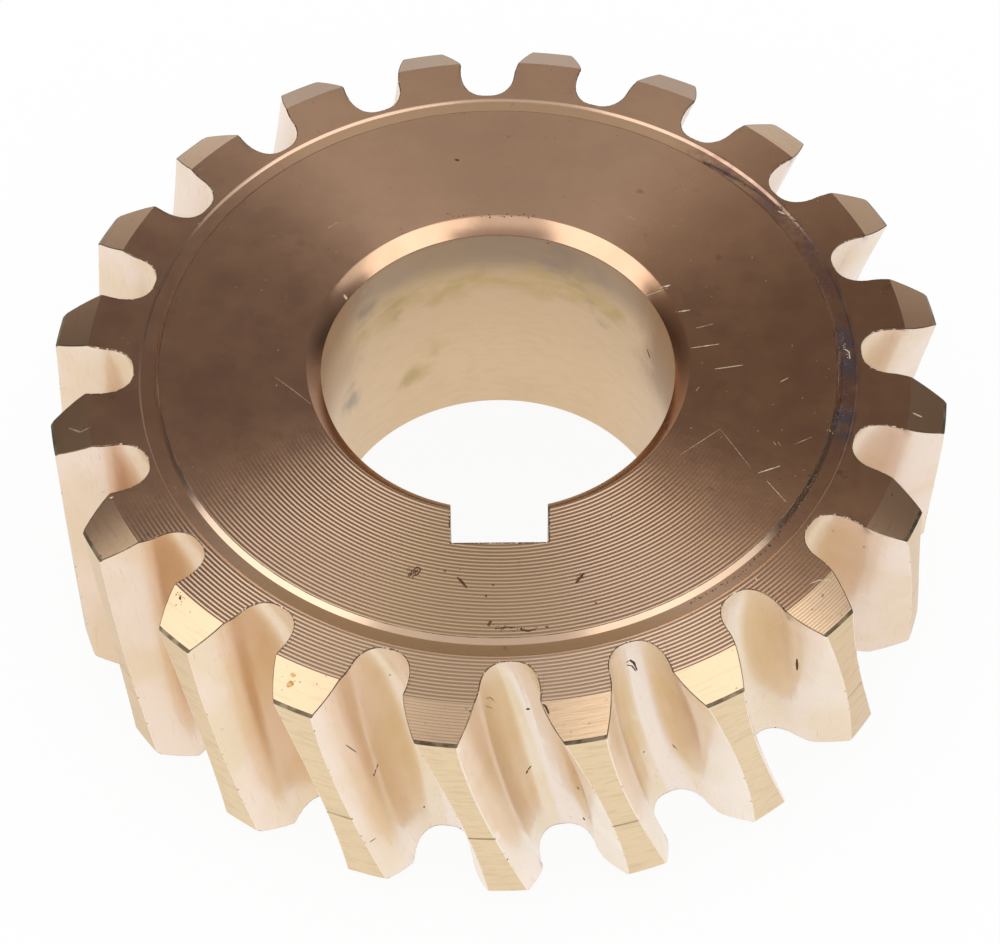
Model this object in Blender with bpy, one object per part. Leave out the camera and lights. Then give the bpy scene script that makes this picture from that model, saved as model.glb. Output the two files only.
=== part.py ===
"""Worm wheel: a turned bronze blank with hobbed left-hand teeth, a chamfered bore and one keyway.

Lengths are written in millimetres and turned into metres when a mesh is made.
The wheel axis is Z, the middle plane of the rim is z = 0 and the keyway faces -Y.
"""
import math

import bmesh
import bpy
import numpy as np

MM = 0.001

# Teeth, with the heights above and below the pitch circle in modules
TOOTH_COUNT = 20
MODULE = 3.5
TIP_HEIGHT_RATIO = 6.0 / 7.0
ROOT_DEPTH_RATIO = 64.0 / 35.0
GAP_ANGLE = math.radians(5.4)

# Mating worm, whose threads leave the tooth gaps
WORM_STARTS = 4
WORM_PITCH_RADIUS = 29.6
WORM_FLANK_ANGLE = math.radians(15.0)
THREAD_THICKNESS_RATIO = 1.897
CREST_ROUNDING_RATIO = 0.486

# Rim
RIM_WIDTH = 25.0
BEVEL_WIDTH = 2.9
BEVEL_DROP = 1.55
EDGE_BREAK = 0.25

# Hub
BORE_RADIUS = 15.0
BORE_CHAMFER = 1.2
HUB_RISE = 0.25

# Ring groove between hub and rim, with the land that is left outside it at the tooth gaps
GROOVE_WIDTH = 1.65
GROOVE_DEPTH = 0.2
GROOVE_WALL = 0.4
GROOVE_LAND = 0.49

# Keyway
KEYWAY_WIDTH = 8.0
KEYWAY_DEPTH = 4.25

# Meshing
BLANK_SEGMENTS = 100
GAP_SECTION_SHARES = (0.0, 0.296, 0.576, 0.832)
GAP_LEVELS = 7
CUTTER_OVERRUN = 0.8
SWEEP_STEPS = 801

# Sizes of the teeth and the worm that follow from those above
PITCH_RADIUS = 0.5 * MODULE * TOOTH_COUNT
TIP_RADIUS = PITCH_RADIUS + TIP_HEIGHT_RATIO * MODULE
CENTRE_DISTANCE = PITCH_RADIUS + WORM_PITCH_RADIUS
WORM_LEAD = WORM_STARTS * math.pi * MODULE
WORM_CREST_RADIUS = WORM_PITCH_RADIUS + ROOT_DEPTH_RATIO * MODULE
WORM_CREST_ROUNDING = CREST_ROUNDING_RATIO * MODULE
WORM_THREAD_THICKNESS = THREAD_THICKNESS_RATIO * MODULE

# Sizes of the blank that follow from those above
RIM_HALF = 0.5 * RIM_WIDTH
HUB_HALF = RIM_HALF + HUB_RISE
FLOOR_HALF = RIM_HALF - GROOVE_DEPTH
FACE_ROOT_RADIUS = CENTRE_DISTANCE - math.sqrt(WORM_CREST_RADIUS ** 2 - RIM_HALF ** 2)
GROOVE_RADIUS = FACE_ROOT_RADIUS - GROOVE_LAND
HUB_RADIUS = GROOVE_RADIUS - GROOVE_WIDTH
KEYWAY_FLOOR_RADIUS = BORE_RADIUS + KEYWAY_DEPTH

# Sizes of the cutting bodies that follow from those above
CUTTER_OUTER_RADIUS = TIP_RADIUS + CUTTER_OVERRUN
CUTTER_HALF = RIM_HALF + CUTTER_OVERRUN
SWEEP_REACH = 4.6 * MODULE


def clear_scene():
    """Remove every object that the opened file holds."""
    for item in list(bpy.data.objects):
        bpy.data.objects.remove(item, do_unlink=True)


def bronze():
    """Return the bronze of the wheel."""
    material = bpy.data.materials.new("bronze")
    material.use_nodes = True
    shader = material.node_tree.nodes["Principled BSDF"]
    shader.inputs["Base Color"].default_value = (0.60, 0.42, 0.24, 1.0)
    shader.inputs["Metallic"].default_value = 1.0
    shader.inputs["Roughness"].default_value = 0.35
    return material


def add_mesh(name, points, faces):
    """Link a mesh object made from points in millimetres."""
    mesh = bpy.data.meshes.new(name)
    mesh.from_pydata([tuple(value * MM for value in point) for point in points], [], faces)
    mesh.validate()
    mesh.update()
    item = bpy.data.objects.new(name, mesh)
    bpy.context.scene.collection.objects.link(item)
    return item


def blank_profile():
    """Return the turned section as (radius, height) points, down the outer side first."""
    hub_wall = HUB_RADIUS + GROOVE_WALL
    rim_wall = GROOVE_RADIUS - GROOVE_WALL
    bevel_outer = TIP_RADIUS - EDGE_BREAK
    bevel_inner = bevel_outer - BEVEL_WIDTH
    bevel_foot = RIM_HALF - BEVEL_DROP
    upper = [
        (BORE_RADIUS, HUB_HALF - BORE_CHAMFER),
        (BORE_RADIUS + BORE_CHAMFER, HUB_HALF),
        (HUB_RADIUS, HUB_HALF),
        (hub_wall, FLOOR_HALF),
        (rim_wall, FLOOR_HALF),
        (GROOVE_RADIUS, RIM_HALF),
        (bevel_inner, RIM_HALF),
        (bevel_outer, bevel_foot),
        (TIP_RADIUS, bevel_foot - EDGE_BREAK),
    ]
    lower = [(radius, -height) for radius, height in reversed(upper)]
    return upper + lower


def revolve(name, profile, segments):
    """Turn a closed section round Z."""
    work = bmesh.new()
    corners = [work.verts.new((radius * MM, 0.0, height * MM)) for radius, height in profile]
    sides = []
    for index, corner in enumerate(corners):
        following = corners[(index + 1) % len(corners)]
        sides.append(work.edges.new((corner, following)))
    bmesh.ops.spin(
        work,
        geom=corners + sides,
        axis=(0.0, 0.0, 1.0),
        cent=(0.0, 0.0, 0.0),
        steps=segments,
        angle=2.0 * math.pi,
        use_merge=True,
    )
    bmesh.ops.recalc_face_normals(work, faces=work.faces)
    mesh = bpy.data.meshes.new(name)
    work.to_mesh(mesh)
    work.free()
    item = bpy.data.objects.new(name, mesh)
    bpy.context.scene.collection.objects.link(item)
    return item


def thread_section(height):
    """Return depth, half thickness and side shift of the worm thread in one plane."""
    slope = math.tan(WORM_FLANK_ANGLE)
    flank_end = WORM_CREST_RADIUS - WORM_CREST_ROUNDING * (1.0 - math.sin(WORM_FLANK_ANGLE))
    half_pitch_thickness = 0.5 * WORM_THREAD_THICKNESS
    start = max(CENTRE_DISTANCE - CUTTER_OUTER_RADIUS - 3.0, abs(height) + 0.01)
    flank = np.linspace(start, flank_end, 90)
    flank_half = half_pitch_thickness - (flank - WORM_PITCH_RADIUS) * slope
    centre_half = flank_half[-1] - WORM_CREST_ROUNDING * math.cos(WORM_FLANK_ANGLE)
    turn = np.linspace(WORM_FLANK_ANGLE, 0.5 * math.pi, 16)
    corner = WORM_CREST_RADIUS - WORM_CREST_ROUNDING + WORM_CREST_ROUNDING * np.sin(turn)
    corner_half = centre_half + WORM_CREST_ROUNDING * np.cos(turn)
    radii = np.concatenate([flank, corner])
    halves = np.concatenate([flank_half, corner_half])
    depth = np.sqrt(radii * radii - height * height)
    shift = -WORM_LEAD * np.arctan2(height, depth) / (2.0 * math.pi)
    return depth, halves, shift, centre_half


def swept_edge(depth, across, radii, side):
    """Return the outermost angle that one flank of the moving thread reaches at each radius."""
    travel = np.linspace(-SWEEP_REACH, SWEEP_REACH, SWEEP_STEPS)[:, None]
    sideways = across[None, :] + travel
    outward = (CENTRE_DISTANCE - depth)[None, :] + 0.0 * travel
    reach = np.hypot(sideways, outward)
    angle = np.arctan2(sideways, outward) - travel / PITCH_RADIUS
    first, last = reach[:, :-1], reach[:, 1:]
    angle_first, angle_last = angle[:, :-1], angle[:, 1:]
    edge = []
    for radius in radii:
        hit = (first - radius) * (last - radius) <= 0.0
        span = last[hit] - first[hit]
        span = np.where(np.abs(span) < 1e-12, 1e-12, span)
        found = angle_first[hit] + (angle_last[hit] - angle_first[hit]) * (radius - first[hit]) / span
        edge.append(float(side * np.max(side * found)))
    return edge


def gap_outline(height):
    """Return one closed section of a tooth gap as (radius, angle) points, anticlockwise."""
    depth, halves, shift, centre_half = thread_section(height)
    root = CENTRE_DISTANCE - float(depth[-1])
    ratios = np.linspace(0.0, 1.0, GAP_LEVELS + 1)[1:] ** 1.6
    radii = root + (CUTTER_OUTER_RADIUS - root) * ratios
    left = swept_edge(depth, shift - halves, radii, -1.0)
    right = swept_edge(depth, shift + halves, radii, 1.0)
    middle = float(shift[-1])
    root_left = (middle - centre_half) / PITCH_RADIUS
    root_right = (middle + centre_half) / PITCH_RADIUS
    outline = [(radius, angle) for radius, angle in zip(radii[::-1], right[::-1])]
    outline += [(root, root_right), (root, root_left)]
    outline += [(radius, angle) for radius, angle in zip(radii, left)]
    return outline


def section_heights():
    """Return the heights of the gap sections, from below the rim to above it."""
    upper = [share * RIM_HALF for share in GAP_SECTION_SHARES] + [CUTTER_HALF]
    lower = [-height for height in reversed(upper[1:])]
    return lower + upper


def gap_cutter():
    """Return the bodies of all the tooth gaps as one hidden object."""
    heights = section_heights()
    sections = [gap_outline(height) for height in heights]
    count = len(sections[0])
    rows = len(sections)
    points = []
    faces = []
    for gap in range(TOOTH_COUNT):
        base = len(points)
        turn = GAP_ANGLE + 2.0 * math.pi * gap / TOOTH_COUNT
        for height, section in zip(heights, sections):
            for radius, angle in section:
                x = radius * math.cos(turn + angle)
                y = radius * math.sin(turn + angle)
                points.append((x, y, height))
        for row in range(rows - 1):
            low = base + row * count
            high = low + count
            for index in range(count):
                following = (index + 1) % count
                faces.append((low + index, low + following, high + following))
                faces.append((low + index, high + following, high + index))
        top = base + (rows - 1) * count
        faces.append(tuple(base + index for index in reversed(range(count))))
        faces.append(tuple(top + index for index in range(count)))
    return hide_cutter(add_mesh("gap_cutter", points, faces))


def keyway_cutter():
    """Return the block of the keyway as a hidden object."""
    half = 0.5 * KEYWAY_WIDTH
    reach = HUB_HALF + CUTTER_OVERRUN
    inner = 0.5 * BORE_RADIUS
    points = []
    for z in (-reach, reach):
        for x, y in ((-half, -KEYWAY_FLOOR_RADIUS), (half, -KEYWAY_FLOOR_RADIUS), (half, -inner), (-half, -inner)):
            points.append((x, y, z))
    faces = [(3, 2, 1, 0), (4, 5, 6, 7), (0, 1, 5, 4), (1, 2, 6, 5), (2, 3, 7, 6), (3, 0, 4, 7)]
    return hide_cutter(add_mesh("keyway_cutter", points, faces))


def hide_cutter(item):
    """Keep a cutting body out of renders."""
    item.hide_render = True
    item.display_type = "WIRE"
    return item


def cut(item, tool, name):
    """Take one body away from another."""
    modifier = item.modifiers.new(name, "BOOLEAN")
    modifier.operation = "DIFFERENCE"
    modifier.solver = "EXACT"
    modifier.object = tool


def build_worm_wheel():
    """Build the toothed wheel."""
    wheel = revolve("worm_wheel", blank_profile(), BLANK_SEGMENTS)
    wheel.data.materials.append(bronze())
    cut(wheel, gap_cutter(), "tooth_gaps")
    cut(wheel, keyway_cutter(), "keyway")
    wheel.data.shade_smooth()
    wheel.data.set_sharp_from_angle(angle=math.radians(30.0))
    return wheel


clear_scene()
build_worm_wheel()
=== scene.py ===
"""Looks of the worm wheel: a finer mesh of the same turned and hobbed form, its bronze and the studio."""
import math

import bpy
import numpy as np
from mathutils import Matrix, Vector
from mathutils.bvhtree import BVHTree


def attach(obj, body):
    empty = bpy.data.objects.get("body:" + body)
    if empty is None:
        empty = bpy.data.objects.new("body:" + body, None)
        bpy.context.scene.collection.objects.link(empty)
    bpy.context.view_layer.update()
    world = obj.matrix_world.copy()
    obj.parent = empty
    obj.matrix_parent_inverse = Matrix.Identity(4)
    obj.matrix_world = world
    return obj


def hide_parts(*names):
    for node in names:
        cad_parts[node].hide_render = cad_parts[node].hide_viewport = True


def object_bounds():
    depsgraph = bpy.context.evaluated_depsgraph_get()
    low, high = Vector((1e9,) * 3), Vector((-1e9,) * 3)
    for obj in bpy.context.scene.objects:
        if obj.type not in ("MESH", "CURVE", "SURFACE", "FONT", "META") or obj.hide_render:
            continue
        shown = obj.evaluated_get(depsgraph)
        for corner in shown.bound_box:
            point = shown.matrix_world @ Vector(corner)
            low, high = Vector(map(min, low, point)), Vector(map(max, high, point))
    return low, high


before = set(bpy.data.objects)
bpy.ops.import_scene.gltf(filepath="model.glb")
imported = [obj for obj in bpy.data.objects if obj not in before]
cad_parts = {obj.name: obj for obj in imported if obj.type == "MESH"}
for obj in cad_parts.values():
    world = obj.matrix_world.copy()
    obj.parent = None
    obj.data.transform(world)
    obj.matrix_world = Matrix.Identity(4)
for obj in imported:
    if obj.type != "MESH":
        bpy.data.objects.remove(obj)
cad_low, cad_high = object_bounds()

MM = 0.001

# Teeth and mating worm, in millimetres
TOOTH_COUNT = 20
MODULE = 3.5
TIP_RADIUS = 38.0
GAP_ANGLE = math.radians(5.4)
WORM_STARTS = 4
WORM_PITCH_RADIUS = 29.6
WORM_CREST_RADIUS = 36.0
WORM_CREST_ROUNDING = 1.7
WORM_THREAD_THICKNESS = 6.64
WORM_FLANK_ANGLE = math.radians(15.0)
PITCH_RADIUS = 0.5 * MODULE * TOOTH_COUNT
TOOTH_PITCH = 2.0 * math.pi / TOOTH_COUNT
CENTRE_DISTANCE = PITCH_RADIUS + WORM_PITCH_RADIUS
WORM_LEAD = WORM_STARTS * math.pi * MODULE

# Turned blank, in millimetres
RIM_HALF = 12.5
BEVEL_WIDTH = 2.9
BEVEL_DROP = 1.55
EDGE_BREAK = 0.25
HUB_HALF = 12.735
BORE_RADIUS = 15.0
BORE_CHAMFER = 1.2
GROOVE_RADIUS = 30.35
GROOVE_WIDTH = 1.65
GROOVE_WALL = 0.4
GROOVE_OUTER_WALL = 0.2
GROOVE_DEPTH = 0.2
GROOVE_TILT = 0.013
KEYWAY_WIDTH = 8.0
KEYWAY_FLOOR_RADIUS = 19.25
TURNED_LINE_HEIGHT = -2.57
TURNED_LINE_HALF = 0.12
TURNED_LINE_DEPTH = 0.09

# Fineness of the mesh, in millimetres where it isn't a count
THREAD_MARGIN = 4.0
THREAD_FLANK_POINTS = 90
THREAD_CORNER_POINTS = 24
FLANK_STEPS = 16
FLANK_STEP_GROWTH = 1.5
ROOT_STEPS = 6
TIP_STEPS = 7
SWEEP_REACH = 16.0
SWEEP_STEPS = 801
FACE_EDGE = 0.09
TOOTH_EDGE = 0.09
TURNED_EDGE = 0.05
BEVEL_RINGS = (12.05, 11.6, 11.2)
TIP_RINGS = 13
TIP_RING_STEP = 0.8
BORE_RINGS = (0.0, 4.0, 8.0)
HUB_RINGS = (18.0, 21.0, 24.0)
KEYWAY_CUT = 40.0
SHARP_ANGLE = math.radians(24.0)

# Zones of the surface, each with a finish of its own
FACE, BEVEL, HOBBED, TIP, BORE, WALL, EDGE, SLOT = range(8)


# Form of the teeth

def thread_section(height):
    """Return depth, half thickness and side shift of the worm thread in one plane."""
    slope = math.tan(WORM_FLANK_ANGLE)
    flank_end = WORM_CREST_RADIUS - WORM_CREST_ROUNDING * (1.0 - math.sin(WORM_FLANK_ANGLE))
    start = max(CENTRE_DISTANCE - TIP_RADIUS - THREAD_MARGIN, abs(height) + 0.01)
    flank = np.linspace(start, flank_end, THREAD_FLANK_POINTS)
    flank_half = 0.5 * WORM_THREAD_THICKNESS - (flank - WORM_PITCH_RADIUS) * slope
    centre_half = flank_half[-1] - WORM_CREST_ROUNDING * math.cos(WORM_FLANK_ANGLE)
    turn = np.linspace(WORM_FLANK_ANGLE, 0.5 * math.pi, THREAD_CORNER_POINTS)
    corner = WORM_CREST_RADIUS - WORM_CREST_ROUNDING + WORM_CREST_ROUNDING * np.sin(turn)
    corner_half = centre_half + WORM_CREST_ROUNDING * np.cos(turn)
    radii = np.concatenate([flank, corner])
    halves = np.concatenate([flank_half, corner_half])
    depth = np.sqrt(radii * radii - height * height)
    shift = -WORM_LEAD * np.arctan2(height, depth) / (2.0 * math.pi)
    return depth, halves, shift, centre_half


def swept_edge(depth, across, radii, side):
    """Return the outermost angle that one flank of the moving thread reaches at each radius."""
    travel = np.linspace(-SWEEP_REACH, SWEEP_REACH, SWEEP_STEPS)[:, None]
    sideways = across[None, :] + travel
    outward = (CENTRE_DISTANCE - depth)[None, :] + 0.0 * travel
    reach = np.hypot(sideways, outward)
    angle = np.arctan2(sideways, outward) - travel / PITCH_RADIUS
    first, last = reach[:, :-1], reach[:, 1:]
    angle_first, angle_last = angle[:, :-1], angle[:, 1:]
    edge = []
    for radius in radii:
        hit = (first - radius) * (last - radius) <= 0.0
        span = last[hit] - first[hit]
        span = np.where(np.abs(span) < 1e-12, 1e-12, span)
        found = angle_first[hit] + (angle_last[hit] - angle_first[hit]) * (radius - first[hit]) / span
        edge.append(float(side * np.max(side * found)))
    return np.array(edge)


def outer_radius(height):
    """Return the turned radius of the rim at one height."""
    level = abs(height)
    bevel_foot = RIM_HALF - BEVEL_DROP
    if level >= bevel_foot:
        return TIP_RADIUS - EDGE_BREAK - (level - bevel_foot) * BEVEL_WIDTH / BEVEL_DROP
    if level >= bevel_foot - EDGE_BREAK:
        return TIP_RADIUS - (level - bevel_foot + EDGE_BREAK)
    line = max(0.0, 1.0 - abs(height - TURNED_LINE_HEIGHT) / TURNED_LINE_HALF)
    return TIP_RADIUS - TURNED_LINE_DEPTH * line


def polar(radius, angle):
    """Return points in the plane from radii and angles."""
    return np.stack([radius * np.cos(angle), radius * np.sin(angle)], axis=-1)


def turned(points, angle):
    """Return points in the plane turned anticlockwise by an angle."""
    cosine = math.cos(angle)
    sine = math.sin(angle)
    return points @ np.array([[cosine, sine], [-sine, cosine]])


def soft_corner(before, corner, after, size):
    """Replace a corner of an outline by three points."""
    towards_before = before - corner
    towards_after = after - corner
    first = corner + towards_before * size / np.linalg.norm(towards_before)
    last = corner + towards_after * size / np.linalg.norm(towards_after)
    middle = 0.25 * first + 0.5 * corner + 0.25 * last
    return first, middle, last


def gap_curve(height):
    """Return one tooth gap in one plane, from its left tip corner through the root to the right one."""
    depth, halves, shift, centre_half = thread_section(height)
    root = CENTRE_DISTANCE - float(depth[-1])
    outer = outer_radius(height)
    ratios = np.linspace(0.0, 1.0, FLANK_STEPS + 1)[1:] ** FLANK_STEP_GROWTH
    radii = root + (outer - root) * ratios
    left = swept_edge(depth, shift - halves, radii, -1.0)
    right = swept_edge(depth, shift + halves, radii, 1.0)
    middle = float(shift[-1])
    root_angles = np.linspace(middle - centre_half, middle + centre_half, ROOT_STEPS + 1) / PITCH_RADIUS
    radius = np.concatenate([radii[::-1], np.full(ROOT_STEPS + 1, root), radii])
    angle = np.concatenate([left[::-1], root_angles, right])
    return radius, angle, outer


def outline(height):
    """Return the rim's whole section in one plane, anticlockwise, with how much of each point is gap."""
    radius, angle, outer = gap_curve(height)
    tip_angles = np.linspace(angle[-1], angle[0] + TOOTH_PITCH, TIP_STEPS + 1)
    curve = polar(radius, angle)
    tip = polar(np.full(TIP_STEPS + 1, outer), tip_angles)
    left = soft_corner(turned(tip[-2], -TOOTH_PITCH), curve[0], curve[1], TOOTH_EDGE)
    right = soft_corner(curve[-2], curve[-1], tip[1], TOOTH_EDGE)
    points = np.array([*left, *curve[1:-1], *right, *tip[1:-1]])
    gap = len(curve) - 2
    share = np.array([0.0, 0.5, 1.0] + [1.0] * gap + [1.0, 0.5, 0.0] + [0.0] * (TIP_STEPS - 1))
    rows = [turned(points, GAP_ANGLE + TOOTH_PITCH * index) for index in range(TOOTH_COUNT)]
    return np.concatenate(rows), np.tile(share, TOOTH_COUNT)


def column_zones():
    """Return, for each column of faces round the wheel, whether it is gap, corner or tip."""
    gap = 2 * FLANK_STEPS + ROOT_STEPS
    one = ["corner"] * 2 + ["gap"] * gap + ["corner"] * 2 + ["tip"] * TIP_STEPS
    return one * TOOTH_COUNT


def inward(points, distance):
    """Return how far each point of an outline moves into the material."""
    ahead = np.roll(points, -1, axis=0) - points
    behind = points - np.roll(points, 1, axis=0)
    ahead /= np.linalg.norm(ahead, axis=1)[:, None]
    behind /= np.linalg.norm(behind, axis=1)[:, None]
    along = ahead + behind
    along /= np.linalg.norm(along, axis=1)[:, None]
    return np.stack([-along[:, 1], along[:, 0]], axis=-1) * distance


def rim_heights():
    """Return the heights of the rim's rings from the top face down, with each one's edge rounding."""
    bevel_foot = RIM_HALF - BEVEL_DROP
    upper = [(RIM_HALF, 1.0), (RIM_HALF - 0.293 * FACE_EDGE, 0.293), (RIM_HALF - FACE_EDGE, 0.0)]
    upper += [(height, 0.0) for height in (*BEVEL_RINGS, bevel_foot, bevel_foot - EDGE_BREAK)]
    upper += [(TIP_RING_STEP * step, 0.0) for step in range(TIP_RINGS, 0, -1)]
    line = [(TURNED_LINE_HEIGHT + step, 0.0) for step in (TURNED_LINE_HALF, 0.0, -TURNED_LINE_HALF)]
    lower = [(-height, rounding) for height, rounding in upper] + line
    return upper + [(0.0, 0.0)] + sorted(lower, key=lambda ring: -ring[0])


def inner_profile():
    """Return the turned section inside the teeth, from the lower groove up to the upper one."""
    soft = TURNED_EDGE
    floor = RIM_HALF - GROOVE_DEPTH
    hub_radius = GROOVE_RADIUS - GROOVE_WIDTH
    chamfer_foot = HUB_HALF - BORE_CHAMFER
    upper = [
        *[(BORE_RADIUS, height, BORE) for height in BORE_RINGS],
        (BORE_RADIUS, chamfer_foot - 0.2, BORE),
        (BORE_RADIUS, chamfer_foot - soft, BORE),
        (BORE_RADIUS + 0.3 * soft, chamfer_foot + 0.3 * soft, WALL),
        (BORE_RADIUS + BORE_CHAMFER - soft, HUB_HALF - soft, WALL),
        (BORE_RADIUS + BORE_CHAMFER + soft, HUB_HALF, FACE),
        *[(radius, HUB_HALF, FACE) for radius in HUB_RINGS],
        (hub_radius - 0.5, HUB_HALF, FACE),
        (hub_radius - soft, HUB_HALF, EDGE),
        (hub_radius + 0.3 * soft, HUB_HALF - 0.6 * soft, WALL),
        (hub_radius + GROOVE_WALL, floor - GROOVE_TILT, FACE),
        (GROOVE_RADIUS - GROOVE_OUTER_WALL, floor + GROOVE_TILT, WALL),
        (GROOVE_RADIUS - 0.5 * soft, RIM_HALF - 0.5 * soft, WALL),
        (GROOVE_RADIUS + 0.5 * soft, RIM_HALF, FACE),
    ]
    rings = [(radius, height) for radius, height, _ in upper]
    zones = [zone for _, _, zone in upper]
    lower_rings = [(radius, -height) for radius, height in reversed(rings[1:])]
    return lower_rings + rings, zones[-2::-1] + zones


def rim_zones(level):
    """Return the zones of the gap, the corner and the tip at a distance from the middle plane."""
    bevel_foot = RIM_HALF - BEVEL_DROP
    if level > RIM_HALF - FACE_EDGE:
        return {"gap": EDGE, "corner": EDGE, "tip": BEVEL}
    if level > bevel_foot:
        return {"gap": HOBBED, "corner": EDGE, "tip": BEVEL}
    if level > bevel_foot - EDGE_BREAK:
        return {"gap": HOBBED, "corner": EDGE, "tip": EDGE}
    return {"gap": HOBBED, "corner": HOBBED, "tip": TIP}


def spread_angles(ring):
    """Return the angles of a ring's points, half way to an even spacing so that none runs backwards."""
    angles = np.unwrap(np.arctan2(ring[:, 1], ring[:, 0]))
    even = np.arange(len(angles)) * 2.0 * math.pi / len(angles)
    return 0.5 * angles + 0.5 * (even + np.mean(angles - even))


def wheel_grid():
    """Return the rings of the wheel as one closed grid, with the zone of each face."""
    columns = column_zones()
    rings = []
    heights = rim_heights()
    for height, rounding in heights:
        points, share = outline(height)
        moved = points + inward(points, FACE_EDGE * rounding) * share[:, None]
        rings.append(np.column_stack([moved, np.full(len(moved), height)]))
    zones = []
    for (upper, _), (lower, _) in zip(heights[:-1], heights[1:]):
        row = rim_zones(abs(0.5 * (upper + lower)))
        zones.append([row[kind] for kind in columns])
    angles = spread_angles(rings[0])
    lower_angles = spread_angles(rings[-1])
    profile, profile_zones = inner_profile()
    zones.append([FACE] * len(columns))
    count = len(profile)
    turn = (angles - lower_angles + math.pi) % (2.0 * math.pi) - math.pi
    for index, (radius, height) in enumerate(profile):
        share = index / (count - 1)
        ring_angles = lower_angles + turn * share
        circle = polar(np.full(len(ring_angles), radius), ring_angles)
        rings.append(np.column_stack([circle, np.full(len(circle), height)]))
        zone = profile_zones[index] if index + 1 < count else FACE
        zones.append([zone] * len(columns))
    return rings, zones


def wheel_mesh():
    """Build the closed mesh of the wheel without its keyway."""
    rings, zones = wheel_grid()
    rows = len(rings)
    count = len(rings[0])
    points = np.concatenate(rings) * MM
    column = np.arange(count)
    following = (column + 1) % count
    faces = []
    for row in range(rows):
        under = ((row + 1) % rows) * count
        here = row * count
        faces.append(np.stack([here + column, under + column, under + following, here + following], axis=-1))
    faces = np.concatenate(faces)
    mesh = bpy.data.meshes.new("worm_wheel_detail")
    mesh.from_pydata(points.tolist(), [], faces.tolist())
    mesh.polygons.foreach_set("material_index", np.array(zones, dtype=np.int32).ravel())
    mesh.validate()
    mesh.update()
    item = bpy.data.objects.new("worm_wheel_detail", mesh)
    bpy.context.scene.collection.objects.link(item)
    return item


def keyway_block():
    """Return the block that cuts the keyway."""
    bpy.ops.mesh.primitive_cube_add(size=1.0)
    block = bpy.context.object
    inner = 0.5 * BORE_RADIUS
    block.scale = (KEYWAY_WIDTH * MM, (KEYWAY_FLOOR_RADIUS - inner) * MM, KEYWAY_CUT * MM)
    block.location = (0.0, -0.5 * (KEYWAY_FLOOR_RADIUS + inner) * MM, 0.0)
    bpy.context.view_layer.update()
    block.data.transform(block.matrix_world)
    block.matrix_world = Matrix.Identity(4)
    return block


def apply_modifiers(item):
    """Turn an object's modifiers into its mesh."""
    graph = bpy.context.evaluated_depsgraph_get()
    made = bpy.data.meshes.new_from_object(item.evaluated_get(graph), depsgraph=graph)
    item.modifiers.clear()
    item.data = made


def listed(items, key, kind=np.int32):
    """Return one property of all the items of a mesh."""
    values = np.empty(len(items), dtype=kind)
    items.foreach_get(key, values)
    return values


def sharpen_zone_borders(mesh):
    """Keep the edges between two zones sharp, so that no flat face looks bent near them."""
    edges = listed(mesh.loops, "edge_index")
    zone_of_corner = np.repeat(listed(mesh.polygons, "material_index"), listed(mesh.polygons, "loop_total"))
    lowest = np.full(len(mesh.edges), SLOT)
    highest = np.full(len(mesh.edges), FACE)
    np.minimum.at(lowest, edges, zone_of_corner)
    np.maximum.at(highest, edges, zone_of_corner)
    sharp = listed(mesh.edges, "use_edge_sharp", bool)
    mesh.edges.foreach_set("use_edge_sharp", sharp | (lowest != highest))


def build_wheel():
    """Build the finished wheel and let it stand for the solid one."""
    finishes = [
        face_finish(),
        bevel_finish(),
        hobbed_finish(),
        tip_finish(),
        bore_finish(),
        wall_finish(),
        edge_finish(),
        slot_finish(),
    ]
    wheel = wheel_mesh()
    block = keyway_block()
    for material in finishes:
        wheel.data.materials.append(material)
        block.data.materials.append(material)
    for face in block.data.polygons:
        face.material_index = SLOT
    modifier = wheel.modifiers.new("keyway", "BOOLEAN")
    modifier.operation = "DIFFERENCE"
    modifier.solver = "EXACT"
    modifier.object = block
    apply_modifiers(wheel)
    bpy.data.objects.remove(block, do_unlink=True)
    wheel.data.shade_smooth()
    wheel.data.set_sharp_from_angle(angle=SHARP_ANGLE)
    sharpen_zone_borders(wheel.data)
    weighted = wheel.modifiers.new("normals", "WEIGHTED_NORMAL")
    weighted.keep_sharp = True
    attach(wheel, "root")
    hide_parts("worm_wheel")
    return wheel


# Finishes

class Field:
    """One value, vector or colour in a material, with the sums and ramps made from it."""

    def __init__(self, graph, socket):
        self.graph = graph
        self.socket = socket

    def __add__(self, other):
        return self.graph.math("ADD", self, other)

    def __sub__(self, other):
        return self.graph.math("SUBTRACT", self, other)

    def __rsub__(self, other):
        return self.graph.math("SUBTRACT", other, self)

    def __mul__(self, other):
        return self.graph.math("MULTIPLY", self, other)

    def __truediv__(self, other):
        return self.graph.math("DIVIDE", self, other)

    def __abs__(self):
        return self.graph.math("ABSOLUTE", self)

    def ramp(self, low, high, start=0.0, end=1.0):
        """Return a smooth step from one value to another."""
        made = self.graph.node("ShaderNodeMapRange", interpolation_type="SMOOTHSTEP", clamp=True)
        self.graph.put(made.inputs["Value"], self)
        for key, number in (("From Min", low), ("From Max", high), ("To Min", start), ("To Max", end)):
            made.inputs[key].default_value = number
        return Field(self.graph, made.outputs["Result"])

    def fall(self, low, high):
        """Return a smooth step from 1 down to 0."""
        return self.ramp(low, high, 1.0, 0.0)

    def band(self, low, high, soft):
        """Return 1 between two values, with soft ends."""
        return self.ramp(low - soft, low + soft) * self.fall(high - soft, high + soft)


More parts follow.
